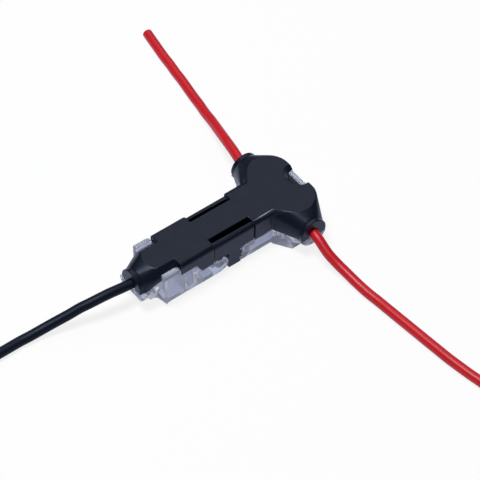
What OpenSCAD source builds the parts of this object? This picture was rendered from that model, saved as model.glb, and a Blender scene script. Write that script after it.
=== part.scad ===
// T-tap splice connector for two insulated wires.
// A black moulded housing carries a stamped contact strip with slotted blades.
// Two clear lids hinge on trunnions near the middle and press the wires into the blades.
// X runs along the stem, Y along the through wire, Z up, the lids rest on Z = 0.

/* [Overall] */
// Length from the tap wire's nozzle to the outer face of the head
total_len = 35.8; // [34.5:0.1:40]
// Width of the stem
stem_w = 8.9; // [8.7:0.1:10.5]
// Height from the lids' floor to the flat top
total_h = 7.85; // [7.75:0.05:9]
// Depth of both wires' centres below the flat top
wire_drop = 3.4; // [3.15:0.05:3.45]
// Width of the head, from nozzle to nozzle
head_w = 19.7; // [18.8:0.1:23]
// Distance from the outer face of the head back to the stem
head_depth = 9.4; // [9.2:0.1:10]
// Distance from the outer face of the head to the through wire's centre
run_inset = 4.7; // [4.6:0.05:4.9]

/* [Wires] */
// Outer diameter of the insulation
wire_d = 1.8; // [1.6:0.05:1.9]
// Diameter of the stranded copper core
core_d = 0.96; // [0.85:0.01:1.1]
// Slip between a wire and the housing's channels
wire_slip = 0.05; // [0.02:0.01:0.1]
// How far the tap wire reaches past its rear blade
tap_end = 1.5; // [1:0.1:1.8]

/* [Housing] */
// Thickness of the side walls
wall = 0.95; // [0.85:0.05:1]
// Thickness of the top
top_t = 1.1; // [1:0.05:1.2]
// Radius of the long upper edges
edge_r = 0.85; // [0.6:0.05:0.9]
// Depth of the skirt's lower edge below the flat top
skirt_drop = 4.2; // [4.05:0.05:4.25]
// Depth of the skirt's lower edge beside the latch ears
latch_skirt_drop = 2.25; // [2.05:0.05:2.55]
// Width of the seam between the housing and the lids
seam = 0.1; // [0.08:0.01:0.15]
// Radius of the rounded ends of the head's flat top
head_r = 3.7; // [3.4:0.05:3.8]
// Distance of those rounded ends from the middle
head_r_y = 3.4; // [3.1:0.1:3.6]
// Radius of the upper edge round the head
head_edge_r = 0.35; // [0.2:0.05:0.5]
// Radius of the wire nozzles
nozzle_r = 2.7; // [2.5:0.05:2.8]
// Length of the collar at each nozzle's mouth
collar_len = 0.9; // [0.6:0.05:1.1]
// Length of the tap wire's nose in front of the lid's box
nose_len = 3.7; // [3.4:0.1:4.5]
// Radius of the plateau's rounded front, seen from above
nose_r = 3.3; // [3:0.1:4]

/* [Slots] */
// Distance from the nose's mouth to the slotted panel
panel_start = 14.1; // [13.8:0.1:14.5]
// Length of the slotted panel
panel_len = 8.7; // [8.6:0.1:9]
// Half the width of the bridge between the slots
bridge_half = 2.45; // [2.3:0.05:2.5]
// Width of each slot
slot_w = 0.85; // [0.6:0.05:0.9]
// Depth of each slot below the flat top
slot_depth = 3.6; // [2.5:0.1:3.8]
// How far the panel's outer bars stand below the flat top
bar_drop = 0.4; // [0.2:0.05:0.6]
// How far the panel stands in from the stem's sides
panel_inset = 0.15; // [0.1:0.05:0.2]
// Width of the fine seam at each end of the panel
panel_seam = 0.14; // [0.1:0.02:0.2]

/* [Lids] */
// Thickness of the lids' floors
floor_t = 0.9; // [0.8:0.05:1]
// Thickness of the lids' side walls
lid_wall = 0.85; // [0.8:0.05:0.9]
// Radius of the lids' long lower edges
lid_edge_r = 0.8; // [0.4:0.05:0.85]
// Length of the latch ears along the stem
ear_len = 3.5; // [3:0.1:3.7]
// How far the latch ears' tops stay below the flat top
ear_sink = 0.45; // [0.35:0.05:0.85]
// Radius of the latch ears' rear corner
ear_r = 1; // [0.5:0.1:1.2]
// Width of the head's latch tongue
tongue_w = 4.6; // [4:0.1:5]
// Thickness of the head's latch tongue
tongue_t = 0.95; // [0.8:0.05:1]
// How far the tongue's top stays below the flat top
tongue_sink = 1.05; // [0.95:0.05:1.35]
// Half the width of the tap lid's nose
lid_nose_half = 3.3; // [3:0.05:3.4]
// How far the tap lid's nose reaches below the wire's centre
lid_nose_drop = 2.2; // [1.9:0.05:2.4]

/* [Hinges] */
// Distance of the tap lid's hinge from the slotted panel's start
tap_pin_in = 1.6; // [1.5:0.05:1.7]
// Height of the tap lid's hinge
tap_pin_z = 2.1; // [2.05:0.05:2.15]
// Radius of the tap lid's hinge end
tap_ear_r = 1.4; // [1.3:0.05:1.45]
// Distance of the run lid's hinge from the slotted panel's start
run_pin_in = 6.8; // [6.75:0.05:6.9]
// Height of the run lid's hinge
run_pin_z = 1.05; // [1:0.05:1.1]
// Radius of the hinge trunnions
pin_r = 0.45; // [0.35:0.01:0.5]
// Slip between a trunnion and its socket
pin_slip = 0.04; // [0.02:0.01:0.08]
// Length of each trunnion
pin_len = 0.75; // [0.5:0.05:0.8]

/* [Contact] */
// Thickness of the contact's metal
metal_t = 0.4; // [0.3:0.02:0.45]
// Width of the contact strip
strip_w = 4; // [3.8:0.05:4.1]
// Width of each slotted blade
blade_w = 3.5; // [3.2:0.05:3.6]
// Width of the slot that grips the copper
grip = 0.8; // [0.7:0.02:0.85]
// How far the blades reach below the wires' centres
blade_reach = 1.7; // [1.45:0.05:1.85]
// Distance from the mouth of the nose to the front blade
front_blade = 9.2; // [9:0.1:9.6]
// Distance between the two tap blades
blade_gap = 2.4; // [2:0.1:2.6]
// Radius of the posts that hold the strip
post_r = 0.55; // [0.45:0.01:0.6]

/* [Hidden] */
$fn = 48;
eps = 0.01;
far = 60;

// Places along the stem
x_mouth = -total_len/2;
x_out = total_len/2;
x_run = x_out - run_inset;
x_box = x_mouth + nose_len;
x_head = x_out - head_depth;
x_ear = x_box + ear_len + seam;
x_panel = x_mouth + panel_start;
x_panel_end = x_panel + panel_len;
x_tap_pin = x_panel + tap_pin_in;
x_run_pin = x_panel + run_pin_in;
x_blade = x_mouth + front_blade;
x_blade2 = x_blade + blade_gap;
x_tap_end = x_blade2 + metal_t + tap_end;
half = stem_w/2;
y_mouth = head_w/2;
y_collar = y_mouth - collar_len;

// Heights above the floor
wire_z = total_h - wire_drop;
skirt_z = total_h - skirt_drop;
latch_skirt_z = total_h - latch_skirt_drop;
ear_top = total_h - ear_sink;
tongue_top = total_h - tongue_sink;
blade_z = wire_z - blade_reach;
ceiling = total_h - top_t;
strip_z = ceiling - metal_t;
lid_top = skirt_z - seam;
ear_base = latch_skirt_z - seam;

// The keel between the lids, and the room that their hinge ends need
keel_x0 = x_tap_pin + tap_ear_r + 0.15;
keel_z = 0.1;
run_ear_x = x_run_pin - 1.05;
keel_x1 = run_ear_x - 0.06;
bite_r = 1.3;
ear_room = 0.06;
swing_room = 1.7;
inner = half - wall;
ear_in = half - lid_wall;
passage = strip_w/2 + 0.1;
tap_boss_r = 1;
run_boss_r = 0.9;

// Where the skirt steps up beside the latch ears
step_x0 = x_panel - 3.7;
step_x1 = x_panel - 2.6;

// Small features of the mouldings
head_face = 2*head_r_y + 1.6;
crease_in = 0.8;
collar_step = 0.08;
plateau_in = 0.8;
shoulder_w = 1.2;
shoulder_h = 1.2;
dish_r = 1.8;
dish_out = -0.1;
front_wall = 1;
ridge_r = 0.2;
groove_r = 0.28;
ear_ridge_z = ear_top - 1.1;
tongue_ridge_z = tongue_top - 1.4;
seat_z = wire_z - wire_d/2 + 0.25;

// Colours of the mouldings, the insulation and the metal
black_plastic = [0.09, 0.1, 0.13];
clear_plastic = [0.86, 0.88, 0.94, 0.45];
red_pvc = [0.83, 0.13, 0.17];
black_pvc = [0.11, 0.13, 0.14];
copper = [0.8, 0.5, 0.33];
tinned = [0.8, 0.8, 0.78];

// Routes of the free leads from each nozzle's mouth, chosen by hand
lead_r = wire_d/2;
tap_route = [[x_mouth, 0, wire_z], [x_mouth-1.9, 0.2, wire_z], [x_mouth-3.9, 0.5, 4.4], [x_mouth-5.8, 0.8, 4.2],
    [x_mouth-7.6, 1.2, 3.8], [x_mouth-9.3, 1.7, 3.3], [x_mouth-11.1, 2.1, 2.7], [x_mouth-12.8, 2.5, 2.2],
    [x_mouth-14.6, 2.9, 1.7], [x_mouth-16.4, 3.2, 1.3], [x_mouth-18.2, 3.4, 1.05], [x_mouth-20.1, 3.6, lead_r],
    [x_mouth-22.1, 3.6, lead_r], [x_mouth-24.1, 3.6, lead_r], [x_mouth-26.2, 3.6, lead_r],
    [x_mouth-28.3, 3.5, lead_r], [x_mouth-30.4, 3.5, lead_r], [x_mouth-32.5, 3.4, lead_r],
    [x_mouth-34.6, 3.3, lead_r], [x_mouth-36.6, 3.2, lead_r]];
left_route = [[x_run, y_mouth, wire_z], [x_run+0.2, y_mouth+1.3, wire_z], [x_run+0.6, y_mouth+3, 4.4],
    [x_run+1.1, y_mouth+5.3, 4.2], [x_run+1.8, y_mouth+8, 3.6], [x_run+2.6, y_mouth+10.7, 2.8],
    [x_run+3.4, y_mouth+13.5, 2], [x_run+4, y_mouth+16.2, 1.4], [x_run+4.6, y_mouth+18.7, 1.05],
    [x_run+5, y_mouth+21, lead_r], [x_run+5.4, y_mouth+23.3, lead_r], [x_run+5.8, y_mouth+25.6, lead_r],
    [x_run+6.1, y_mouth+27.9, lead_r], [x_run+6.5, y_mouth+30.2, lead_r], [x_run+6.8, y_mouth+32.5, lead_r],
    [x_run+7.2, y_mouth+34.8, lead_r], [x_run+7.6, y_mouth+37.1, lead_r], [x_run+8, y_mouth+39.3, lead_r]];
right_route = [[x_run, -y_mouth, wire_z], [x_run-0.1, -y_mouth-1.4, 4.2], [x_run-0.2, -y_mouth-4.1, 3.1],
    [x_run+0.1, -y_mouth-6.4, 2.2], [x_run+0.4, -y_mouth-8.8, 1.6], [x_run+0.6, -y_mouth-11.2, 1.2],
    [x_run+0.8, -y_mouth-13.6, 1], [x_run+1.1, -y_mouth-16, lead_r], [x_run+1.3, -y_mouth-18.4, lead_r],
    [x_run+1.5, -y_mouth-20.8, lead_r], [x_run+1.7, -y_mouth-23.1, lead_r], [x_run+1.9, -y_mouth-25.4, lead_r],
    [x_run+2.1, -y_mouth-27.8, lead_r], [x_run+2.3, -y_mouth-30, lead_r], [x_run+2.5, -y_mouth-32.3, lead_r],
    [x_run+2.8, -y_mouth-34.5, lead_r], [x_run+3.1, -y_mouth-36.6, lead_r], [x_run+3.5, -y_mouth-38.8, lead_r],
    [x_run+3.9, -y_mouth-41, lead_r], [x_run+4.4, -y_mouth-43.3, lead_r], [x_run+4.9, -y_mouth-45.6, lead_r],
    [x_run+5.5, -y_mouth-47.8, lead_r]];

// Extrudes a profile drawn in X and Z sideways, centred on the stem
module across(width) {
    translate([0, width/2, 0])
        rotate([90, 0, 0])
            linear_extrude(width)
                children();
}

// Extrudes a section drawn in Y and Z along the stem, from x0 to x1
module along(x0, x1) {
    translate([x0, 0, 0])
        rotate([90, 0, 90])
            linear_extrude(x1 - x0)
                children();
}

// Does the same on both sides of the stem
module both_sides() {
    children();
    mirror([0, 1, 0])
        children();
}

// Section of the stem with rounded upper edges
module stem_section(w, z0, z1, r) {
    translate([-w/2, z0])
        square([w, z1 - z0 - r]);
    translate([-w/2 + r, z0])
        square([w - 2*r, z1 - z0]);
    for (s = [-1, 1])
        translate([s*(w/2 - r), z1 - r])
            circle(r);
}

// A round block with a rounded upper edge
module pill(r, z0, z1, edge) {
    rotate_extrude($fn = 36)
        polygon(concat(
            [[0, z0], [r, z0]],
            [for (a = [0:30:90]) [r - edge + edge*cos(a), z1 - edge + edge*sin(a)]],
            [[0, z1]]));
}

// A disc across the through wire, at y
module run_disc(y, r, t) {
    translate([x_run, y + t/2, wire_z])
        rotate([90, 0, 0])
            cylinder(r = r, h = t);
}

// A disc across the tap wire, from x
module tap_disc(x, r, t) {
    translate([x, 0, wire_z])
        rotate([0, 90, 0])
            cylinder(r = r, h = t);
}

// Side view of everything below the housing's skirt, or below a line that much lower
module skirt_side(lower) {
    translate([0, -lower])
        polygon([[-far, -far], [-far, skirt_z], [x_mouth + collar_len, skirt_z], [x_box, latch_skirt_z],
            [step_x0, latch_skirt_z], [step_x1, skirt_z], [far, skirt_z], [far, -far]]);
}

// The head: two rounded ends, a flat outer face and tapers down to the nozzles
module head_outside() {
    low = total_h - head_edge_r;
    flat_half = half - edge_r;
    hull() {
        both_sides()
            translate([x_out - head_r - head_edge_r, head_r_y, 0])
                pill(head_r + head_edge_r, low - 0.1, total_h, head_edge_r);
        translate([x_run, -head_face/2, skirt_z])
            cube([run_inset, head_face, low - skirt_z]);
        translate([x_head, -half, skirt_z])
            cube([1, stem_w, total_h - edge_r - skirt_z]);
        translate([x_head + crease_in, -flat_half, low])
            cube([1, 2*flat_half, head_edge_r]);
        both_sides()
            run_disc(y_collar, nozzle_r, 0.1);
    }
    both_sides()
        run_disc(y_mouth - collar_len/2, nozzle_r - collar_step, collar_len);
}

// The nose: a taper from the rounded front of the flat top down to the tap nozzle
module nose_outside() {
    hull() {
        tap_disc(x_mouth + collar_len, nozzle_r, 0.1);
        intersection() {
            translate([x_box - plateau_in + nose_r, 0, wire_z])
                cylinder(r = nose_r, h = total_h - wire_z);
            along(x_box - 1, x_box + 2)
                latch_section();
        }
        along(x_box, x_box + 1)
            latch_section();
    }
    tap_disc(x_mouth, nozzle_r - collar_step, collar_len + 0.1);
}

// Section between the latch ears, with sloping shoulders
module latch_section() {
    side = ear_in - seam;
    polygon([[-side, skirt_z], [side, skirt_z], [side, total_h - shoulder_h], [side - shoulder_w, total_h],
        [shoulder_w - side, total_h], [-side, total_h - shoulder_h]]);
}

module housing_outside() {
    difference() {
        union() {
            along(x_ear, x_head + 1)
                stem_section(stem_w, skirt_z, total_h, edge_r);
            along(x_box, x_ear + 0.1)
                latch_section();
            nose_outside();
            head_outside();
        }
        across(far)
            skirt_side(0);
    }
}

// The hollow that the contact and the lids' saddles stand in
module housing_hollow() {
    rear = x_box + 1.2;
    front = x_run + blade_w/2 + 0.5;
    translate([rear, -passage, 0])
        cube([front - rear, 2*passage, ceiling]);
    translate([x_ear + wall, -inner, 0])
        cube([x_panel - 0.3 - x_ear - wall, 2*inner, ceiling]);
    translate([x_panel_end + 0.2, -inner, 0])
        cube([front - x_panel_end - 0.2, 2*inner, ceiling]);
    // room for the run lid's seats, below the dish
    translate([x_run, -inner, 0])
        cube([run_inset - tongue_t - wall, 2*inner, wire_z]);
    run_room = run_inset - tongue_t - wall - 0.6;
    translate([x_run - run_room, -inner - 2, 0])
        cube([2*run_room, 2*inner + 4, ceiling]);
}

// The two hinge blocks beside the strip, with sockets for the lids' trunnions
module hinge_blocks() {
    both_sides()
        difference() {
            translate([0, -passage, 0])
                rotate([90, 0, 0])
                    linear_extrude(inner - passage + 0.05)
                        hinge_profile();
            for (p = [[x_tap_pin, tap_pin_z], [x_run_pin, run_pin_z]])
                trunnion(p[0], p[1], pin_r + pin_slip, pin_len + 0.1);
        }
}

// Side view of a hinge block
module hinge_profile() {
    translate([x_panel - 0.3, tap_pin_z])
        square([panel_len + 0.5, ceiling - tap_pin_z + 0.05]);
    translate([keel_x0, keel_z])
        square([x_run_pin - keel_x0, ceiling - keel_z]);
    translate([keel_x0, run_pin_z])
        square([x_run_pin + run_boss_r - keel_x0, ceiling - run_pin_z]);
    translate([x_tap_pin, tap_pin_z])
        circle(tap_boss_r);
    translate([x_run_pin, run_pin_z])
        circle(run_boss_r);
}

// Cheeks of the keel, flush with the slotted panel
module keel_cheeks() {
    both_sides()
        difference() {
            translate([keel_x0, inner - eps, keel_z])
                cube([keel_x1 - keel_x0, wall - panel_inset + eps, skirt_z]);
            translate([x_run_pin, 0, run_pin_z])
                rotate([-90, 0, 0])
                    cylinder(r = bite_r, h = half);
        }
}

// Room for the tap lid's hinge ends, where a lower skirt would meet them
module tap_ear_room() {
    both_sides()
        translate([x_tap_pin, ear_in - seam/2, tap_pin_z])
            rotate([-90, 0, 0])
                cylinder(r = tap_ear_r + ear_room, h = half);
}

// A trunnion pin on one side, pointing inwards from a lid's ear
module trunnion(x, z, r, len) {
    translate([x, -ear_in - eps, z])
        rotate([-90, 0, 0])
            cylinder(r = r, h = len + eps);
}

// Slots in the flat top, lower bars beside them and the fine seams at the panel's ends
module panel_cuts() {
    x0 = x_panel + panel_seam;
    len = panel_len - 2*panel_seam;
    both_sides() {
        translate([x0, bridge_half, total_h - slot_depth])
            cube([len, slot_w, slot_depth + 1]);
        along(x0, x0 + len)
            difference() {
                translate([bridge_half, 0])
                    square([half, total_h + 1]);
                stem_section(stem_w - 2*panel_inset, -1, total_h - bar_drop, edge_r);
            }
        for (x = [x_panel, x_panel_end - panel_seam])
            translate([x, half - 0.45, skirt_z - 1])
                cube([panel_seam, 1, total_h]);
    }
}

// Channels that the wires are pressed into from below
module wire_channels() {
    r = lead_r + wire_slip;
    translate([x_run, 0, wire_z])
        rotate([90, 0, 0])
            cylinder(r = r, h = head_w + 1, center = true);
    translate([x_run - r, -head_w/2 - 0.5, 0])
        cube([2*r, head_w + 1, wire_z]);
    translate([x_mouth - 0.5, 0, wire_z])
        rotate([0, 90, 0])
            cylinder(r = r, h = nose_len + 2);
    translate([x_mouth - 0.5, -r, 0])
        cube([nose_len + 2, 2*r, wire_z]);
}

// Dish in the head's outer edge and the pocket that the tongue rises in
module tongue_pocket() {
    w = tongue_w + 2*seam;
    translate([x_out - tongue_t - seam, -w/2, 0])
        cube([tongue_t + 1, w, tongue_top + seam]);
    translate([x_out + dish_out, 0, tongue_top])
        cylinder(r1 = dish_r, r2 = dish_r + 0.9, h = total_h - tongue_top + eps);
    tongue_ridge(tongue_w - 1, groove_r);
}

// A small round ridge along the tongue's inner face, for its snap
module tongue_ridge(len, r) {
    translate([x_out - tongue_t, len/2, tongue_ridge_z])
        rotate([90, 0, 0])
            cylinder(r = r, h = len);
}

// Snap ridges on the inner faces of the latch ears
module ear_ridges(r) {
    both_sides()
        translate([x_box + 0.7, ear_in + 0.05, ear_ridge_z])
            rotate([0, 90, 0])
                cylinder(r = r, h = ear_len - 1.4);
}

// Posts that pass through the strip, with flattened heads below it
module strip_posts() {
    for (x = post_places()) {
        translate([x, 0, strip_z - 0.05])
            cylinder(r = post_r, h = metal_t + 0.1);
        translate([x, 0, strip_z - 0.35])
            cylinder(r1 = post_r + 0.15, r2 = post_r + 0.4, h = 0.35);
    }
}

function post_places() = [x_panel + 0.8, x_panel + panel_len/2, x_panel_end - 0.8];

// A bulkhead across the hollow that stands over the tap wire
module wire_guide() {
    translate([x_ear - 0.2, -inner - 0.05, wire_z + lead_r])
        cube([0.8, 2*inner + 0.1, ceiling - wire_z - lead_r + 0.05]);
}

module housing() {
    color(black_plastic)
        difference() {
            union() {
                difference() {
                    union() {
                        difference() {
                            housing_outside();
                            housing_hollow();
                        }
                        wire_guide();
                        hinge_blocks();
                        keel_cheeks();
                    }
                    wire_channels();
                    strip_passage();
                    tap_ear_room();
                }
                strip_posts();
            }
            panel_cuts();
            tongue_pocket();
            ear_ridges(groove_r);
        }
}

// Clear way for the strip along the whole stem
module strip_passage() {
    translate([x_blade - 0.3, -passage, 0])
        cube([x_run + blade_w/2 + 0.5 - x_blade, 2*passage, ceiling]);
}

// Section of a lid with rounded lower edges
module lid_section(w, z1, r) {
    translate([-w/2, r])
        square([w, z1 - r]);
    translate([-w/2 + r, 0])
        square([w - 2*r, z1]);
    for (s = [-1, 1])
        translate([s*(w/2 - r), r])
            circle(r);
}

// Side view of the tap lid behind its nose
module tap_lid_profile() {
    rise = [x_tap_pin + tap_ear_r*cos(-75), tap_pin_z + tap_ear_r*sin(-75)];
    polygon([[x_box, 0], [x_tap_pin - swing_room, 0], rise, [x_tap_pin, lid_top], [step_x1, lid_top],
        [step_x0, ear_base], [x_ear - seam, ear_base], [x_ear - seam, ear_top - ear_r],
        [x_ear - seam - ear_r, ear_top], [x_box, ear_top]]);
    translate([x_ear - seam - ear_r, ear_top - ear_r])
        circle(ear_r);
    translate([x_tap_pin, tap_pin_z])
        circle(tap_ear_r);
}

// The concave flare between the tap lid's nose and its box
module tap_flare() {
    drop = wire_z - lid_nose_drop;
    grow = half - lid_nose_half;
    intersection() {
        across(stem_w)
            flare_side(drop);
        linear_extrude(lid_top)
            difference() {
                translate([x_box - grow, -half])
                    square([grow + 0.5, stem_w]);
                for (s = [-1, 1])
                    translate([x_box - grow, s*half])
                        circle(grow);
            }
    }
    across(2*lid_nose_half)
        flare_side(drop);
}

// Side view of the flare, a quarter of a hollow round
module flare_side(r) {
    difference() {
        translate([x_box - r, 0])
            square([r + 0.5, lid_top]);
        translate([x_box - r, 0])
            circle(r);
    }
}

// The tap lid's nose, a cradle under the nozzle that rises towards the box's front wall
module tap_lid_nose() {
    z0 = wire_z - lid_nose_drop;
    intersection() {
        along(x_mouth, x_box + 0.5)
            translate([0, z0])
                lid_section(2*lid_nose_half, ear_base - z0, 1.1);
        across(stem_w)
            skirt_side(seam);
    }
}

module tap_lid_outside() {
    intersection() {
        across(stem_w)
            tap_lid_profile();
        along(x_box, x_panel_end)
            lid_section(stem_w, total_h, lid_edge_r);
    }
    tap_lid_nose();
    tap_flare();
}

// A wall across the tap lid whose top gets a round seat for the wire
module tap_saddle(x, len) {
    translate([x, -ear_in, 0])
        cube([len, 2*ear_in, seat_z]);
}

module tap_lid() {
    color(clear_plastic)
        difference() {
            union() {
                difference() {
                    tap_lid_outside();
                    // the room inside
                    translate([x_box + front_wall, -ear_in, floor_t])
                        cube([x_tap_pin - swing_room - x_box - front_wall, 2*ear_in, total_h]);
                    // open end round the hinge blocks
                    translate([x_tap_pin - swing_room, -ear_in, -1])
                        cube([2*swing_room + 1, 2*ear_in, total_h + 2]);
                    // room for the housing's shoulders
                    translate([x_box - 1, -ear_in, ear_base])
                        cube([front_wall + 2, 2*ear_in, total_h]);
                }
                // seats beside the blades
                tap_saddle(x_blade - 1.1, 0.8);
                tap_saddle(x_blade + metal_t + 0.3, blade_gap - metal_t - 0.6);
                both_sides()
                    trunnion(x_tap_pin, tap_pin_z, pin_r, pin_len);
                ear_ridges(ridge_r);
            }
            translate([x_mouth - 1, 0, wire_z])
                rotate([0, 90, 0])
                    cylinder(r = lead_r + wire_slip, h = x_tap_end + seam - x_mouth + 1);
            translate([x_mouth - 1, -lead_r - wire_slip, wire_z])
                cube([nose_len + front_wall + 2, 2*(lead_r + wire_slip), total_h]);
        }
}

// Plan of the run lid, the same outline as the housing above it
module run_lid_plan() {
    y_taper = y_collar - 1.4;
    polygon([[run_ear_x, -half], [x_head, -half], [x_run - nozzle_r, -y_taper], [x_run + nozzle_r, -y_taper],
        [x_out, -head_face/2], [x_out, head_face/2], [x_run + nozzle_r, y_taper],
        [x_run - nozzle_r, y_taper], [x_head, half], [run_ear_x, half]]);
}

// Side view of the run lid's hinge end
module run_lid_profile() {
    top_r = 1.9;
    low_r = 0.5;
    difference() {
        translate([run_ear_x, 0])
            square([far, lid_top]);
        translate([run_ear_x, lid_top - top_r])
            difference() {
                square([top_r, top_r + 1]);
                translate([top_r, 0])
                    circle(top_r);
            }
        translate([run_ear_x - eps, -eps])
            difference() {
                square(low_r);
                translate([low_r, low_r])
                    circle(low_r);
            }
    }
}

module run_lid_outside() {
    intersection() {
        linear_extrude(lid_top)
            run_lid_plan();
        across(far)
            run_lid_profile();
        union() {
            along(run_ear_x - 1, x_head + 0.6)
                lid_section(stem_w, lid_top, lid_edge_r);
            translate([x_head, -far/2, 0])
                cube([far, far, lid_top]);
        }
    }
    // tapers and lower halves of the nozzles
    difference() {
        union() {
            both_sides()
                hull() {
                    run_disc(y_collar, nozzle_r + 0.1, 0.1);
                    translate([x_head + 1, half, 0])
                        cube([head_depth - 1.8, 0.5, lid_top]);
                }
            both_sides()
                run_disc(y_mouth - collar_len/2, nozzle_r + 0.1, collar_len);
        }
        translate([-far, -far, lid_top])
            cube(2*far);
        translate([-far, -far, -2*far])
            cube(2*far);
    }
    // latch tongue at the outer face
    tongue();
}

module tongue() {
    translate([x_out - tongue_t, -tongue_w/2, lid_top - 0.5])
        cube([tongue_t, tongue_w, tongue_top - lid_top + 0.5]);
    tongue_ridge(tongue_w - 1.2, ridge_r);
}

module run_lid() {
    side = x_run_pin + run_boss_r + 0.2;
    seat_t = 0.8;
    post_t = strip_w - 2*metal_t - 0.5;
    color(clear_plastic)
        difference() {
            union() {
                difference() {
                    run_lid_outside();
                    translate([side, -ear_in, floor_t])
                        cube([x_out - tongue_t - side, 2*ear_in, lid_top]);
                    translate([x_run - nozzle_r, -inner - 1.6, floor_t])
                        cube([2*nozzle_r, 2*inner + 3.2, lid_top]);
                    // open end round the hinge blocks
                    translate([run_ear_x - 1, -ear_in, -1])
                        cube([side - run_ear_x + 1, 2*ear_in, lid_top + 2]);
                }
                // seats beside and between the blades
                for (y = [-passage - 0.3 - seat_t, passage + 0.3])
                    translate([x_run - nozzle_r, y, 0])
                        cube([2*nozzle_r, seat_t, seat_z]);
                translate([x_run - 2*lead_r, -post_t/2, 0])
                    cube([4*lead_r, post_t, seat_z]);
                both_sides()
                    trunnion(x_run_pin, run_pin_z, pin_r, pin_len);
            }
            translate([x_run, 0, wire_z])
                rotate([90, 0, 0])
                    cylinder(r = lead_r + wire_slip, h = head_w + 1, center = true);
        }
}

// A slotted blade, drawn with its slot's centre on the origin
module blade_profile() {
    shoulder = 0.45;
    difference() {
        translate([-blade_w/2, blade_z - wire_z])
            square([blade_w, strip_z - blade_z + metal_t/2]);
        translate([-grip/2, blade_z - wire_z - 1])
            square([grip, wire_z - blade_z + 1 + core_d/2]);
        translate([0, core_d/2])
            circle(grip/2);
        // lead-in at the tips
        polygon([[-grip/2 - shoulder, blade_z - wire_z - eps], [grip/2 + shoulder, blade_z - wire_z - eps],
            [grip/2, blade_z - wire_z + 0.7], [-grip/2, blade_z - wire_z + 0.7]]);
        for (s = [-1, 1])
            polygon([[s*blade_w/2, blade_z - wire_z - eps], [s*(blade_w/2 + eps), blade_z - wire_z + 0.6],
                [s*(blade_w/2 - shoulder), blade_z - wire_z - eps]]);
    }
}

// Blades that grip the tap wire
module tap_blades(gap) {
    for (x = [x_blade, x_blade2])
        translate([x - gap, 0, wire_z])
            rotate([90, 0, 90])
                linear_extrude(metal_t + 2*gap)
                    blade_profile();
}

// Blades that grip the through wire, one at each edge of the strip
module run_blades(gap) {
    for (y = [-strip_w/2 + metal_t, strip_w/2])
        translate([x_run, y + gap, wire_z])
            rotate([90, 0, 0])
                linear_extrude(metal_t + 2*gap)
                    blade_profile();
}

module contact_strip() {
    color(tinned)
        difference() {
            union() {
                translate([x_blade, -strip_w/2, strip_z])
                    cube([x_run + blade_w/2 - x_blade, strip_w, metal_t]);
                tap_blades(0);
                run_blades(0);
            }
            for (x = post_places())
                translate([x, 0, strip_z - 1])
                    cylinder(r = post_r + 0.02, h = 2);
        }
}

// Insulation inside the connector, slit by the blades
module run_insulation() {
    color(red_pvc)
        difference() {
            run_disc(0, lead_r, head_w);
            run_disc(0, core_d/2, head_w + 1);
            run_blades(0.005);
        }
}

module run_core() {
    color(copper)
        run_disc(0, core_d/2, head_w);
}

module tap_insulation() {
    color(black_pvc)
        difference() {
            tap_disc(x_mouth, lead_r, x_tap_end - x_mouth);
            tap_disc(x_mouth - 1, core_d/2, x_tap_end - x_mouth + 2);
            tap_blades(0.005);
        }
}

module tap_core() {
    color(copper)
        tap_disc(x_mouth, core_d/2, x_tap_end - x_mouth);
}

function unit(v) = v/norm(v);

// Sweeps a tube with eight sides along a route that starts square to the mouth
module lead(route, start) {
    sides = 8;
    last = len(route) - 1;
    points = [for (i = [0:last])
        let (dir = i == 0 ? start : unit(route[min(i+1, last)] - route[i-1]),
            out = unit(cross(dir, [0, 0, 1])),
            up = cross(out, dir))
        for (k = [0:sides-1])
            route[i] + lead_r*(cos(360*k/sides)*out + sin(360*k/sides)*up)];
    walls = [for (i = [0:last-1], k = [0:sides-1])
        let (j = (k+1) % sides)
        [i*sides + k, i*sides + j, (i+1)*sides + j, (i+1)*sides + k]];
    polyhedron(points, concat(walls, [[for (k = [sides-1:-1:0]) k]],
        [[for (k = [0:sides-1]) last*sides + k]]));
}

module run_lead_left() {
    color(red_pvc)
        lead(left_route, [0, 1, 0]);
}

module run_lead_right() {
    color(red_pvc)
        lead(right_route, [0, -1, 0]);
}

module tap_lead() {
    color(black_pvc)
        lead(tap_route, [-1, 0, 0]);
}

housing();
tap_lid();
run_lid();
contact_strip();
run_insulation();
run_core();
tap_insulation();
tap_core();
run_lead_left();
run_lead_right();
tap_lead();
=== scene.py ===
# %% [markdown]
# # A t-tap connector, from its CAD frame to a studio picture
# A t-tap joins a branch wire to a through wire without cutting the through wire. A black moulding
# holds a slotted strip of metal, and two clear lids press the wires into its slots.
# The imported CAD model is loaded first. It says where every piece is, in metres, and the pieces of
# this file are made in that same frame, so nothing has to be fitted by eye.

# %% Load the frame
import math

import bmesh
import bpy
from mathutils import Matrix, Vector


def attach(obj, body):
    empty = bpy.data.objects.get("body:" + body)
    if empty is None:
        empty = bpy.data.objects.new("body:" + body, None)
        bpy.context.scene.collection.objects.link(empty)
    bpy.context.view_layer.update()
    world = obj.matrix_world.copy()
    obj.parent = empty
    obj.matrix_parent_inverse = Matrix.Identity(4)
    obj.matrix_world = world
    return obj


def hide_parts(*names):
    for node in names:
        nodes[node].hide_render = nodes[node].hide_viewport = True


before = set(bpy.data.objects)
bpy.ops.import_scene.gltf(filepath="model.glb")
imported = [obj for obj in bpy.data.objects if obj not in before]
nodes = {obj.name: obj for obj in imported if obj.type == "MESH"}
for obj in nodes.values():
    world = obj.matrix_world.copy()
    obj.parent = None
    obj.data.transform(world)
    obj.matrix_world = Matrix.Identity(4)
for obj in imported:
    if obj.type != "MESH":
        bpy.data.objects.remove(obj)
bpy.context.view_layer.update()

MM = 0.001
print("CAD nodes:", ", ".join(sorted(nodes)))

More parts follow.
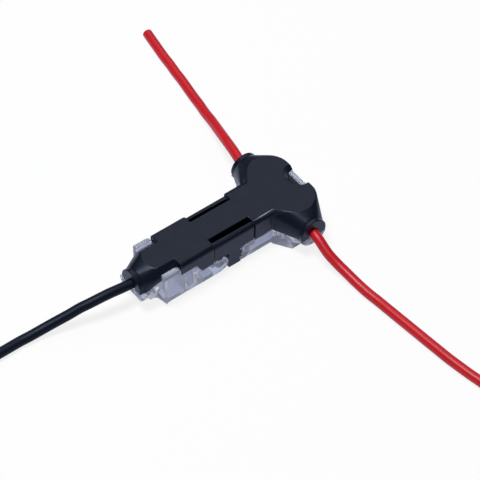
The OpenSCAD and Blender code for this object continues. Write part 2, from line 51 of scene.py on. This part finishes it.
# %% [markdown]
# ## The camera
# A long lens from far away keeps the connector's parallel edges nearly parallel, as in the
# photograph. The camera looks down at the flat top from the tap wire's side. Its place is worked
# out from a point that it aims at, two angles and a distance, which is easier to adjust than a
# bare position.

# %% Camera
AIM = Vector((4.73, -0.35, -0.19)) * MM
TURN = math.radians(37.56)
TILT = math.radians(49.52)
DISTANCE = 411.7 * MM
LENS_MM = 180

camera_data = bpy.data.cameras.new("camera")
camera_data.sensor_width = 36
camera_data.lens = LENS_MM
camera_data.clip_start = 0.01
camera_data.clip_end = 10
camera = bpy.data.objects.new("camera", camera_data)
bpy.context.scene.collection.objects.link(camera)
look = Vector((math.sin(TURN) * math.cos(TILT), math.cos(TURN) * math.cos(TILT), -math.sin(TILT)))
camera.location = AIM - look * DISTANCE
camera.rotation_euler = (math.pi / 2 - TILT, 0, -TURN)
bpy.context.scene.camera = camera
print("camera stands at", [round(v, 3) for v in camera.location])

# %% [markdown]
# ## Helpers for meshes and materials
# A mesh can be built from lists of points and faces. Every piece made here keeps its object at the
# origin and its place in its vertices, as the CAD nodes do, so that patterns which follow Object
# coordinates stay put.

# %% Mesh helpers
def add_piece(name, mesh, body, material):
    """Links a mesh as a piece that rides on a CAD body."""
    piece = bpy.data.objects.new(name, mesh)
    bpy.context.scene.collection.objects.link(piece)
    if material is not None:
        mesh.materials.clear()
        mesh.materials.append(material)
    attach(piece, body)
    return piece


def mesh_from(name, points, faces):
    """A mesh whose faces all point outwards."""
    mesh = bpy.data.meshes.new(name)
    mesh.from_pydata([tuple(p) for p in points], [], faces)
    work = bmesh.new()
    work.from_mesh(mesh)
    bmesh.ops.recalc_face_normals(work, faces=work.faces)
    work.to_mesh(mesh)
    work.free()
    return mesh


# %% Node helpers
def new_material(name):
    """A material with its Principled shader and its node tree."""
    material = bpy.data.materials.new(name)
    material.use_nodes = True
    return material, material.node_tree, material.node_tree.nodes["Principled BSDF"]


def node(tree, kind, **settings):
    """Adds a node: a setting names a property, or an input's default with its spaces as _."""
    made = tree.nodes.new(kind)
    for key, value in settings.items():
        if hasattr(made, key):
            setattr(made, key, value)
        else:
            made.inputs[key.replace("_", " ")].default_value = value
    return made


def object_noise(tree, scale, detail=3.0, roughness=0.55):
    """Noise that is fixed to the piece, in cycles per metre."""
    place = node(tree, "ShaderNodeTexCoord")
    noise = node(tree, "ShaderNodeTexNoise", Scale=scale, Detail=detail, Roughness=roughness)
    tree.links.new(place.outputs["Object"], noise.inputs["Vector"])
    return noise.outputs["Fac"]


def spread(tree, value, low, high):
    """Maps noise, which lies around 0.5, to a range."""
    span = node(tree, "ShaderNodeMapRange", From_Min=0.3, From_Max=0.7, To_Min=low, To_Max=high)
    tree.links.new(value, span.inputs["Value"])
    return span.outputs["Result"]


def bumped(tree, shader, height, distance, strength=1.0, normal=None):
    """Gives a shader a bump of a real height in metres."""
    bump = node(tree, "ShaderNodeBump", Strength=strength, Distance=distance)
    tree.links.new(height, bump.inputs["Height"])
    if normal is not None:
        tree.links.new(normal, bump.inputs["Normal"])
    tree.links.new(bump.outputs["Normal"], shader.inputs["Normal"])
    return bump.outputs["Normal"]


def two_tones(tree, value, dark, light):
    """Mixes two colours by a value from 0 to 1."""
    mix = node(tree, "ShaderNodeMix", data_type="RGBA")
    mix.inputs["A"].default_value = (*dark, 1)
    mix.inputs["B"].default_value = (*light, 1)
    tree.links.new(value, mix.inputs["Factor"])
    return mix.outputs["Result"]


# %% [markdown]
# ## The wires' insulation
# Hook-up wire has a soft PVC jacket. It comes out of a round die, so its surface is smooth with a
# satin shine, very slightly uneven along its length. The colour is even. The unevenness is a
# stretched noise: a Mapping node squeezes the pattern along the wire by using the piece's own UV
# map, where U runs along the wire in metres and V goes round it. The black jacket's shine is
# tinted blue, as the photograph shows it, and the red one's is left white.

# %% Insulation material
def insulation(name, dark, light, roughness, shine, tint):
    material, tree, shader = new_material(name)
    place = node(tree, "ShaderNodeTexCoord")
    stretch = node(tree, "ShaderNodeMapping")
    stretch.inputs["Scale"].default_value = (300, 6, 1)
    tree.links.new(place.outputs["UV"], stretch.inputs["Vector"])
    drawn = node(tree, "ShaderNodeTexNoise", Scale=1.0, Detail=3.0)
    tree.links.new(stretch.outputs["Vector"], drawn.inputs["Vector"])
    tone = two_tones(tree, object_noise(tree, 180), dark, light)
    tree.links.new(tone, shader.inputs["Base Color"])
    grain = object_noise(tree, 9000, 2.0)
    satin = spread(tree, grain, roughness - 0.05, roughness + 0.06)
    tree.links.new(satin, shader.inputs["Roughness"])
    shader.inputs["IOR"].default_value = shine
    shader.inputs["Specular Tint"].default_value = (*tint, 1)
    lines = bumped(tree, shader, drawn.outputs["Fac"], 0.006 * MM, 0.4)
    bumped(tree, shader, grain, 0.006 * MM, 0.5, lines)
    return material


RED_PVC = insulation("red_pvc", (0.52, 0.008, 0.016), (0.64, 0.012, 0.022), 0.36, 1.42,
                     (1, 1, 1))
BLACK_PVC = insulation("black_pvc", (0.004, 0.006, 0.013), (0.007, 0.010, 0.019), 0.44, 1.3,
                       (0.6, 0.75, 1))


# %% Copper material
def copper_strands():
    """Bright drawn copper, a little darker where it has been handled."""
    material, tree, shader = new_material("copper_strands")
    worn = object_noise(tree, 1500, 4.0)
    tone = two_tones(tree, spread(tree, worn, 0, 1), (0.62, 0.27, 0.13), (0.86, 0.47, 0.28))
    tree.links.new(tone, shader.inputs["Base Color"])
    tree.links.new(spread(tree, worn, 0.38, 0.22), shader.inputs["Roughness"])
    shader.inputs["Metallic"].default_value = 1.0
    bumped(tree, shader, object_noise(tree, 7000), 0.01 * MM, 0.4)
    return material


COPPER = copper_strands()
print("wire materials:", RED_PVC.name, BLACK_PVC.name, COPPER.name)

# %% [markdown]
# ## The free leads
# Each lead leaves its nozzle level, droops to the table within a couple of centimetres and then
# lies on it in the lazy curve that the photograph shows. The lists are the CAD routes in
# millimetres. The tube is swept here with more rings and sides than in CAD: a smooth curve is run
# through the route's points and a ring is set square to it at each step. The end is cut flush,
# with the copper a little below the cut.

# %% Routes of the leads
WIRE_R = 0.9
CORE_R = 0.48
WIRE_Z = 4.45
MOUTH = {"tap_lead": (-17.9, 0), "run_lead_left": (13.2, 9.85), "run_lead_right": (13.2, -9.85)}
ROUTES = {
    "tap_lead": [
        (0, 0, WIRE_Z), (-1.9, 0.2, WIRE_Z), (-3.9, 0.5, 4.4), (-5.8, 0.8, 4.2), (-7.6, 1.2, 3.8),
        (-9.3, 1.7, 3.3), (-11.1, 2.1, 2.7), (-12.8, 2.5, 2.2), (-14.6, 2.9, 1.7), (-16.4, 3.2, 1.3),
        (-18.2, 3.4, 1.05), (-20.1, 3.6, WIRE_R), (-22.1, 3.6, WIRE_R), (-24.1, 3.6, WIRE_R),
        (-26.2, 3.6, WIRE_R), (-28.3, 3.5, WIRE_R), (-30.4, 3.5, WIRE_R), (-32.5, 3.4, WIRE_R),
        (-34.6, 3.3, WIRE_R), (-36.6, 3.2, WIRE_R)],
    "run_lead_left": [
        (0, 0, WIRE_Z), (0.2, 1.3, WIRE_Z), (0.6, 3, 4.4), (1.1, 5.3, 4.2), (1.8, 8, 3.6),
        (2.6, 10.7, 2.8), (3.4, 13.5, 2), (4, 16.2, 1.4), (4.6, 18.7, 1.05), (5, 21, WIRE_R),
        (5.4, 23.3, WIRE_R), (5.8, 25.6, WIRE_R), (6.1, 27.9, WIRE_R), (6.5, 30.2, WIRE_R),
        (6.8, 32.5, WIRE_R), (7.2, 34.8, WIRE_R), (7.6, 37.1, WIRE_R), (8, 39.3, WIRE_R)],
    "run_lead_right": [
        (0, 0, WIRE_Z), (-0.1, -1.4, 4.2), (-0.2, -4.1, 3.1), (0.1, -6.4, 2.2), (0.4, -8.8, 1.6),
        (0.6, -11.2, 1.2), (0.8, -13.6, 1), (1.1, -16, WIRE_R), (1.3, -18.4, WIRE_R),
        (1.5, -20.8, WIRE_R), (1.7, -23.1, WIRE_R), (1.9, -25.4, WIRE_R), (2.1, -27.8, WIRE_R),
        (2.3, -30, WIRE_R), (2.5, -32.3, WIRE_R), (2.8, -34.5, WIRE_R), (3.1, -36.6, WIRE_R),
        (3.5, -38.8, WIRE_R), (3.9, -41, WIRE_R), (4.4, -43.3, WIRE_R), (4.9, -45.6, WIRE_R),
        (5.5, -47.8, WIRE_R)],
}


def route_points(name):
    """The route in metres, in the frame."""
    x, y = MOUTH[name]
    return [Vector((x + p[0], y + p[1], p[2])) * MM for p in ROUTES[name]]


def route_length(points):
    return sum((b - a).length for a, b in zip(points, points[1:]))


for name in ROUTES:
    print(name, "is", round(route_length(route_points(name)) / MM, 1), "mm long")


# %% Sweep a tube along a route
def smooth_points(points, steps):
    """A Catmull-Rom curve through the points."""
    padded = [points[0] * 2 - points[1], *points, points[-1] * 2 - points[-2]]
    curve = []
    for a, b, c, d in zip(padded, padded[1:], padded[2:], padded[3:]):
        for i in range(steps):
            t = i / steps
            curve.append(0.5 * (2 * b + (c - a) * t + (2 * a - 5 * b + 4 * c - d) * t * t
                                + (3 * b - a - 3 * c + d) * t ** 3))
    return [*curve, points[-1]]


def ring(centre, forward, radius, sides):
    """A circle of points square to a direction, starting at its level side."""
    level = forward.cross(Vector((0, 0, 1))).normalized()
    top = level.cross(forward)
    turns = [2 * math.pi * k / sides for k in range(sides)]
    return [centre + radius * (math.cos(a) * level + math.sin(a) * top) for a in turns]


def skin(rings):
    """Joins rings of equal size into faces, and closes both ends."""
    sides = len(rings[0])
    points = [p for one in rings for p in one]
    faces = []
    for i in range(len(rings) - 1):
        for k in range(sides):
            j = (k + 1) % sides
            faces.append((i * sides + k, i * sides + j, (i + 1) * sides + j, (i + 1) * sides + k))
    faces.append([(len(rings) - 1) * sides + k for k in range(sides)])
    faces.append(list(reversed(range(sides))))
    return points, faces


def wire_uv(mesh, sides, reach):
    """U runs along the wire in metres, and V goes once round it."""
    layer = mesh.uv_layers.new(name="along")
    for face in mesh.polygons:
        spots = [(mesh.loops[i].vertex_index, i) for i in face.loop_indices]
        turns = [v % sides for v, _ in spots]
        crosses = max(turns) - min(turns) > sides / 2
        for (vertex, loop), turn in zip(spots, turns):
            around = (turn + sides if crosses and turn < sides / 2 else turn) / sides
            layer.data[loop].uv = (reach[vertex // sides], around)


# %% Make the three leads
LEAD_SIDES = 28
STEPS = 5
CUT_EDGE = 0.05 * MM
RECESS = 0.25 * MM
START = {"tap_lead": (-1, 0, 0), "run_lead_left": (0, 1, 0), "run_lead_right": (0, -1, 0)}
LEAD_FINISH = {
    "tap_lead": (BLACK_PVC, "black_insulation"),
    "run_lead_left": (RED_PVC, "red_insulation"),
    "run_lead_right": (RED_PVC, "red_insulation"),
}


def lead_mesh(name):
    """A swept tube with a flush-cut end whose copper lies a little deeper."""
    curve = smooth_points(route_points(name), STEPS)
    rings = [ring(curve[0], Vector(START[name]), WIRE_R * MM, LEAD_SIDES)]
    reach = [0.0]
    for before, here, after in zip(curve, curve[1:], curve[2:]):
        rings.append(ring(here, (after - before).normalized(), WIRE_R * MM, LEAD_SIDES))
        reach.append(reach[-1] + (here - before).length)
    end = curve[-1]
    forward = (curve[-1] - curve[-2]).normalized()
    outer, inner = WIRE_R * MM, CORE_R * MM
    rim = [(-CUT_EDGE, outer), (0, outer - CUT_EDGE), (0, inner), (-RECESS, inner)]
    for along, radius in rim:
        rings.append(ring(end + forward * along, forward, radius, LEAD_SIDES))
        reach.append(reach[-1] + 0.1 * MM)
    mesh = mesh_from(name, *skin(rings))
    wire_uv(mesh, LEAD_SIDES, reach)
    return mesh, end, forward


lead_ends = {}
for name, (material, slot) in LEAD_FINISH.items():
    mesh, end, forward = lead_mesh(name)
    mesh.shade_smooth()
    mesh.set_sharp_from_angle(angle=math.radians(40))
    add_piece(name + "_wire", mesh, "housing", material)
    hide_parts(name)
    lead_ends[name] = (end, forward)

# %% [markdown]
# ## Copper strands at the cut ends
# The core is nineteen fine strands laid in rings of one, six and twelve. They repeat by a rule, so
# Geometry Nodes place them: a small cylinder is instanced on points in a hexagonal pattern,
# with its length varied a little by a seeded random value, because a cutter never leaves them
# even. Realize Instances turns the copies into real geometry, which the export needs.

# %% Strand tree
STRAND_R = 0.09 * MM


def hexagon_points():
    """Nineteen spots in rings of one, six and twelve."""
    step = 2.08 * STRAND_R
    spots = []
    for q in range(-2, 3):
        for r in range(-2, 3):
            if abs(q + r) <= 2:
                spots.append((step * (q + r / 2), step * r * math.sqrt(3) / 2, 0))
    return spots


def strand_tree():
    tree = bpy.data.node_groups.new("strand_ends", "GeometryNodeTree")
    socket = tree.interface.new_socket
    socket("Geometry", in_out="INPUT", socket_type="NodeSocketGeometry")
    socket("Strand radius", in_out="INPUT", socket_type="NodeSocketFloat").default_value = STRAND_R
    socket("Strand length", in_out="INPUT", socket_type="NodeSocketFloat").default_value = 0.3 * MM
    socket("Unevenness", in_out="INPUT", socket_type="NodeSocketFloat").default_value = 0.3
    socket("Copper", in_out="INPUT", socket_type="NodeSocketMaterial")
    socket("Geometry", in_out="OUTPUT", socket_type="NodeSocketGeometry")
    link = tree.links.new
    given = node(tree, "NodeGroupInput")
    result = node(tree, "NodeGroupOutput")
    strand = node(tree, "GeometryNodeMeshCylinder", Vertices=10)
    link(given.outputs["Strand radius"], strand.inputs["Radius"])
    link(given.outputs["Strand length"], strand.inputs["Depth"])
    least = node(tree, "ShaderNodeMath", operation="SUBTRACT")
    least.inputs[0].default_value = 1.0
    link(given.outputs["Unevenness"], least.inputs[1])
    uneven = node(tree, "FunctionNodeRandomValue", data_type="FLOAT")
    uneven.inputs["Seed"].default_value = 7
    uneven.inputs["Max"].default_value = 1.0
    link(least.outputs[0], uneven.inputs["Min"])
    size = node(tree, "ShaderNodeCombineXYZ", X=1.0, Y=1.0)
    link(uneven.outputs["Value"], size.inputs["Z"])
    copies = node(tree, "GeometryNodeInstanceOnPoints")
    link(given.outputs["Geometry"], copies.inputs["Points"])
    link(strand.outputs["Mesh"], copies.inputs["Instance"])
    link(size.outputs["Vector"], copies.inputs["Scale"])
    real = node(tree, "GeometryNodeRealizeInstances")
    link(copies.outputs["Instances"], real.inputs["Geometry"])
    finish = node(tree, "GeometryNodeSetMaterial")
    link(real.outputs["Geometry"], finish.inputs["Geometry"])
    link(given.outputs["Copper"], finish.inputs["Material"])
    link(finish.outputs["Geometry"], result.inputs["Geometry"])
    return tree


def set_input(modifier, tree, name, value):
    """A modifier's input is set by its socket's identifier."""
    for item in tree.interface.items_tree:
        if item.name == name and item.in_out == "INPUT":
            modifier[item.identifier] = value


def grown(name, mesh, tree, values):
    """Runs a node tree on a mesh and returns the result as a plain mesh."""
    seed = bpy.data.objects.new(name + "_seed", mesh)
    bpy.context.scene.collection.objects.link(seed)
    modifier = seed.modifiers.new("nodes", "NODES")
    modifier.node_group = tree
    for key, value in values.items():
        set_input(modifier, tree, key, value)
    bpy.context.view_layer.update()
    ready = seed.evaluated_get(bpy.context.evaluated_depsgraph_get())
    result = bpy.data.meshes.new_from_object(ready)
    bpy.data.objects.remove(seed)
    return result


# %% Strands in each lead
strands = strand_tree()
for name, (end, forward) in lead_ends.items():
    spots = bpy.data.meshes.new(name + "_spots")
    spots.from_pydata(hexagon_points(), [], [])
    mesh = grown(name, spots, strands, {"Copper": COPPER})
    turn = forward.to_track_quat("Z", "Y").to_matrix().to_4x4()
    mesh.transform(Matrix.Translation(end - forward * (0.18 * MM)) @ turn)
    tip = add_piece(name + "_strands", mesh, "housing", None)
    print(tip.name, "has", len(mesh.polygons), "faces")

# %% [markdown]
# ## The black moulding
# The housing is injection-moulded nylon. Its flat top has a very fine spark-eroded grain and a
# satin shine, and its colour is a blue-black. The grain is a bump of a few hundredths of a
# millimetre on fine noise, and a larger, fainter noise moves the shine about, as flow marks do.
# A blue tint on the shine and a thin, smoother coat give the cool glints along its edges.

# %% Black moulding material
def black_moulding():
    material, tree, shader = new_material("black_moulding")
    flow = object_noise(tree, 260, 3.0)
    tone = two_tones(tree, spread(tree, flow, 0, 1), (0.0036, 0.0046, 0.0110),
                     (0.0070, 0.0086, 0.0180))
    tree.links.new(tone, shader.inputs["Base Color"])
    grain = object_noise(tree, 7000, 4.0, 0.65)
    tree.links.new(spread(tree, flow, 0.36, 0.43), shader.inputs["Roughness"])
    shader.inputs["IOR"].default_value = 1.34
    shader.inputs["Specular Tint"].default_value = (0.56, 0.70, 1.0, 1)
    shader.inputs["Coat Weight"].default_value = 0.25
    shader.inputs["Coat Roughness"].default_value = 0.13
    shader.inputs["Coat IOR"].default_value = 1.4
    bumped(tree, shader, grain, 0.03 * MM, 0.5)
    return material


BLACK = black_moulding()
print("housing material:", BLACK.name)

# %% [markdown]
# ## The clear lids
# The lids are clear polycarbonate. Light goes through them and is bent, so their walls show as
# grey outlines and white glints on a white table. Transmission with an index of refraction near
# the real one does this by itself. A small part of the light is scattered instead, as in any
# moulding that has been handled, and a trace of violet, a satin roughness and slight waviness
# from the mould keep it from looking like cut glass.

# %% Clear moulding material
def clear_moulding():
    material, tree, shader = new_material("clear_moulding")
    cloud = object_noise(tree, 350, 2.0)
    tone = two_tones(tree, cloud, (0.76, 0.77, 0.85), (0.86, 0.87, 0.93))
    tree.links.new(tone, shader.inputs["Base Color"])
    tree.links.new(spread(tree, cloud, 0.16, 0.24), shader.inputs["Roughness"])
    shader.inputs["IOR"].default_value = 1.45
    shader.inputs["Transmission Weight"].default_value = 0.82
    bumped(tree, shader, object_noise(tree, 600, 2.0), 0.02 * MM, 0.3)
    return material


CLEAR = clear_moulding()
print("lid material:", CLEAR.name)


# %% [markdown]
# ## The contact
# The metal strip inside is brass with a thin coat of tin. It was rolled before it was stamped,
# and the rolls left fine lines. They are a noise that a Mapping node draws out along the strip.

# %% Tinned metal material
def tinned_metal():
    """Tin-plated brass, grey-white and soft."""
    material, tree, shader = new_material("tinned_metal")
    place = node(tree, "ShaderNodeTexCoord")
    stretch = node(tree, "ShaderNodeMapping")
    stretch.inputs["Scale"].default_value = (900, 9000, 9000)
    tree.links.new(place.outputs["Object"], stretch.inputs["Vector"])
    rolled = node(tree, "ShaderNodeTexNoise", Scale=1.0, Detail=4.0)
    tree.links.new(stretch.outputs["Vector"], rolled.inputs["Vector"])
    tone = two_tones(tree, rolled.outputs["Fac"], (0.55, 0.54, 0.51), (0.80, 0.79, 0.75))
    tree.links.new(tone, shader.inputs["Base Color"])
    tree.links.new(spread(tree, rolled.outputs["Fac"], 0.26, 0.4), shader.inputs["Roughness"])
    shader.inputs["Metallic"].default_value = 1.0
    bumped(tree, shader, rolled.outputs["Fac"], 0.01 * MM, 0.4)
    return material


TINNED = tinned_metal()


# %% Finish the CAD nodes
def finish_node(name, material):
    """Gives a CAD node its finished material."""
    piece = nodes[name]
    piece.data.materials.clear()
    piece.data.materials.append(material)


NODE_FINISH = {"contact_strip": TINNED, "run_insulation": RED_PVC, "tap_insulation": BLACK_PVC,
               "run_core": COPPER, "tap_core": COPPER}
for name, material in NODE_FINISH.items():
    finish_node(name, material)
    print(name, "is finished in", material.name)

# %% [markdown]
# ## Rounded edges on the housing
# No moulded edge is truly sharp: the mould gives each one a small radius, and that radius is what
# catches the light. A CAD node's mesh may not be changed, so each moulding is copied. The copy's
# loose triangles are merged, flat regions are joined into single faces, and each edge that turns
# by more than twenty-two degrees gets a bevel weight. On the housing a Bevel modifier rounds the
# weighted edges, and a Weighted Normal modifier keeps the flats between them evenly shaded.

# %% Bevelled copies
EDGE_R = 0.09 * MM
ROUNDED_FROM = math.radians(22)
SHARP_FROM = math.radians(26)
SHORTEST_CONVEX = 0.04 * MM
SHORTEST_CONCAVE = 0.25 * MM
DISH_CORNERS = [Vector((17.75, side * 2.65, 7.65)) * MM for side in (-1, 1)]


def at_dish_corner(edge):
    """The slivers where the dish runs out of the head's outer face are too thin to round."""
    return any((v.co - corner).length < 0.5 * MM for v in edge.verts for corner in DISH_CORNERS)


def clean_copy(name):
    """A merged copy of a CAD node with its flat regions joined."""
    mesh = nodes[name].data.copy()
    mesh.name = name + "_moulding"
    work = bmesh.new()
    work.from_mesh(mesh)
    bmesh.ops.remove_doubles(work, verts=work.verts, dist=0.002 * MM)
    bmesh.ops.dissolve_degenerate(work, edges=work.edges, dist=0.004 * MM)
    bmesh.ops.dissolve_limit(work, angle_limit=math.radians(1), verts=work.verts, edges=work.edges)
    share = work.edges.layers.float.new("bevel_weight_edge")
    for edge in work.edges:
        turns = edge.is_manifold and edge.calc_face_angle(0) > ROUNDED_FROM
        shortest = SHORTEST_CONVEX if edge.is_convex else SHORTEST_CONCAVE
        if turns and edge.calc_length() > shortest and not at_dish_corner(edge):
            edge[share] = 1
    work.to_mesh(mesh)
    work.free()
    return mesh


def bevelled_housing():
    """The housing with a small radius on each edge, and flat regions that stay flat."""
    mesh = clean_copy("housing")
    piece = add_piece("housing_moulding", mesh, "housing", BLACK)
    bevel = piece.modifiers.new("mould radius", "BEVEL")
    bevel.width = EDGE_R
    bevel.segments = 2
    bevel.limit_method = "WEIGHT"
    bevel.use_clamp_overlap = False
    piece.data.shade_smooth()
    piece.data.set_sharp_from_angle(angle=SHARP_FROM)
    flats = piece.modifiers.new("flat regions", "WEIGHTED_NORMAL")
    flats.keep_sharp = True
    flats.weight = 80
    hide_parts("housing")
    return piece


housing = bevelled_housing()
print(housing.name, "has", len(housing.data.polygons), "faces before its bevels")

# %% [markdown]
# ## Softened clear lids
# Light is bent at every edge of a clear piece, so a lid's edges have to be round all over, also
# where three of them meet. A Bevel modifier is unsure of itself at such meetings, and a voxel
# remesh is not: it wraps the lid in an even, fine skin, and a little smoothing rounds every edge
# by the same small amount. The tap lid's lower front corner is blunter than the rest, so its
# points are first moved onto a larger round.

# %% Softened copies of the clear lids
VOXEL = 0.11 * MM
BOX_FRONT = -14.2 * MM
CORNER_R = 1.2 * MM


def blunt_corner(mesh):
    """Moves points of the tap lid's lower front corner onto a round, less so towards its top."""
    for vertex in mesh.vertices:
        x = vertex.co.x - BOX_FRONT - CORNER_R
        z = vertex.co.z - CORNER_R
        reach = math.hypot(x, z)
        if -1.4 * CORNER_R < x < 0 and z < 0 and reach > CORNER_R:
            share = min(1, -z / (0.6 * CORNER_R))
            scale = 1 + share * (CORNER_R / reach - 1)
            vertex.co.x = BOX_FRONT + CORNER_R + x * scale
            vertex.co.z = CORNER_R + z * scale


def plain_mesh(piece):
    """Turns a piece's modifiers into its plain mesh."""
    bpy.context.view_layer.update()
    ready = piece.evaluated_get(bpy.context.evaluated_depsgraph_get())
    mesh = bpy.data.meshes.new_from_object(ready)
    piece.modifiers.clear()
    piece.data = mesh


def softened_lid(name):
    """A lid remeshed finely and smoothed, so that light bends round its edges."""
    piece = add_piece(name + "_moulding", clean_copy(name), name, CLEAR)
    remesh = piece.modifiers.new("fine skin", "REMESH")
    remesh.mode = "VOXEL"
    remesh.voxel_size = VOXEL
    remesh.use_smooth_shade = True
    plain_mesh(piece)
    if name == "tap_lid":
        blunt_corner(piece.data)
    smooth = piece.modifiers.new("soft edges", "SMOOTH")
    smooth.factor = 0.5
    smooth.iterations = 3
    plain_mesh(piece)
    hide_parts(name)
    return piece


for piece in (softened_lid("tap_lid"), softened_lid("run_lid")):
    print(piece.name, "has", len(piece.data.polygons), "faces")

# %% [markdown]
# ## The table and the light
# The photograph is a product shot on white. The table is a plain white plane. A camera ray sees
# it mostly as even white, and partly as lit, so the object's soft shadow stays. A reflected ray
# sees it a little cooler and darker, as the mouldings in the photograph do. One soft lamp stands
# almost overhead, which leaves the slopes that face the camera dark. A wide, weak one behind the
# connector lays an even sheen on its flat top.

# %% Table
WHITE_SHARE = 0.84
COOL_WHITE = (0.62, 0.69, 0.92)


def either(tree, first, second):
    """One where a ray is of either kind, and otherwise nought."""
    both = node(tree, "ShaderNodeMath", operation="MAXIMUM")
    tree.links.new(first, both.inputs[0])
    tree.links.new(second, both.inputs[1])
    return both.outputs[0]


def white_table():
    material = bpy.data.materials.new("white_table")
    material.use_nodes = True
    tree = material.node_tree
    tree.nodes.clear()
    lit = node(tree, "ShaderNodeBsdfDiffuse")
    lit.inputs["Color"].default_value = (0.95, 0.95, 0.96, 1)
    even = node(tree, "ShaderNodeEmission", Strength=1.0)
    ray = node(tree, "ShaderNodeLightPath")
    shine = two_tones(tree, ray.outputs["Is Glossy Ray"], (1, 1, 1), COOL_WHITE)
    tree.links.new(shine, even.inputs["Color"])
    seen = either(tree, ray.outputs["Is Camera Ray"], ray.outputs["Is Transmission Ray"])
    share = node(tree, "ShaderNodeMath", operation="MULTIPLY")
    tree.links.new(either(tree, seen, ray.outputs["Is Glossy Ray"]), share.inputs[0])
    share.inputs[1].default_value = WHITE_SHARE
    mix = node(tree, "ShaderNodeMixShader")
    tree.links.new(share.outputs[0], mix.inputs["Fac"])
    tree.links.new(lit.outputs[0], mix.inputs[1])
    tree.links.new(even.outputs[0], mix.inputs[2])
    surface = node(tree, "ShaderNodeOutputMaterial")
    tree.links.new(mix.outputs[0], surface.inputs["Surface"])
    return material


TABLE_HALF = 3.0
corners = [(x * TABLE_HALF, y * TABLE_HALF, 0) for x, y in ((-1, -1), (1, -1), (1, 1), (-1, 1))]
table_mesh = mesh_from("table", corners, [(0, 1, 2, 3)])
table = bpy.data.objects.new("table", table_mesh)
bpy.context.scene.collection.objects.link(table)
table.location.z = -0.02 * MM
table.data.materials.append(white_table())
print("the table is", 2 * TABLE_HALF, "m wide")


# %% Lamps and world
def soft_lamp(name, place, size, power):
    """A square lamp that faces the connector."""
    data = bpy.data.lights.new(name, "AREA")
    data.shape = "SQUARE"
    data.size = size
    data.energy = power
    lamp = bpy.data.objects.new(name, data)
    bpy.context.scene.collection.objects.link(lamp)
    lamp.location = place
    lamp.rotation_euler = (-Vector(place)).to_track_quat("-Z", "Y").to_euler()
    print(name, "gives", power, "watts from", size, "m square")


soft_lamp("lamp_over", (-0.14, 0.08, 0.81), 0.26, 5.8)
soft_lamp("lamp_sheen", (0.36, 0.46, 0.68), 0.6, 1.1)

world = bpy.data.worlds.new("studio")
bpy.context.scene.world = world
world.use_nodes = True
tree = world.node_tree
tree.nodes.clear()
ray = node(tree, "ShaderNodeLightPath")
seen = either(tree, ray.outputs["Is Camera Ray"], ray.outputs["Is Transmission Ray"])
dim = node(tree, "ShaderNodeBackground", Strength=0.07)
dim.inputs["Color"].default_value = (0.75, 0.87, 1, 1)
white = node(tree, "ShaderNodeBackground", Strength=1.0)
white.inputs["Color"].default_value = (1, 1, 1, 1)
mix = node(tree, "ShaderNodeMixShader")
tree.links.new(seen, mix.inputs["Fac"])
tree.links.new(dim.outputs[0], mix.inputs[1])
tree.links.new(white.outputs[0], mix.inputs[2])
sky = node(tree, "ShaderNodeOutputWorld")
tree.links.new(mix.outputs[0], sky.inputs["Surface"])
bpy.context.scene.view_settings.view_transform = "Standard"
